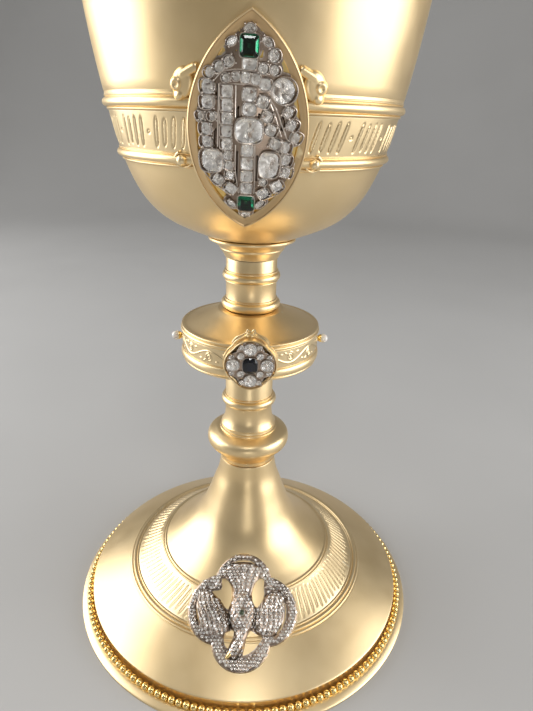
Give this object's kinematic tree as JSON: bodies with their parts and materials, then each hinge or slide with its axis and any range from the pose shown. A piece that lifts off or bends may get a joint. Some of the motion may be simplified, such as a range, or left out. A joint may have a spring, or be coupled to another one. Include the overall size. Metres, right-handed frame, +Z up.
{
  "type": "chalice",
  "caption": "Gilded stemmed cup on a wide hollow foot, with a banded knop, jewelled brooches, pearls and a beaded foot edge.",
  "frame": {"origin": "centre of the foot's underside, on the table", "axes": "+Z up along the stem to the rim, -Y towards the front with the brooches, +X to the right seen from the front"},
  "size_m": [0.15, 0.15, 0.2522],
  "materials": {
    "gilt": "satin silver-gilt with a matte chased ground",
    "polished_gold": "polished",
    "silver": "aged polished silver settings with small diamonds",
    "emerald": "faceted, deep green",
    "sapphire": "faceted, very dark blue",
    "diamond": "faceted, clear",
    "pearl": "soft pearl lustre"
  },
  "bodies": {
    "root": {"foot": "gilt", "foot_beading": "polished_gold", "lower_stem": "gilt", "knop": "gilt", "upper_stem": "gilt", "cup_collar": "gilt", "cup": "gilt", "mandorla_frame": "gilt", "mandorla_cluster": "silver", "emerald_upper": "emerald", "emerald_lower": "emerald", "diamond_centre": "diamond", "diamond_upper_right": "diamond", "diamond_lower_left": "diamond", "diamond_lower_right": "diamond", "leaf_terminal_left": "gilt", "leaf_terminal_right": "gilt", "ball_terminal_left": "gilt", "ball_terminal_right": "gilt", "knop_jewel_frame": "gilt", "knop_jewel_cluster": "silver", "sapphire": "sapphire", "knop_diamond_right": "diamond", "knop_diamond_top": "diamond", "knop_diamond_left": "diamond", "knop_diamond_bottom": "diamond", "pearl_cup_left": "polished_gold", "pearl_cup_right": "polished_gold", "pearl_left": "pearl", "pearl_right": "pearl", "dove_brooch": "silver"}
  },
  "joints": []
}
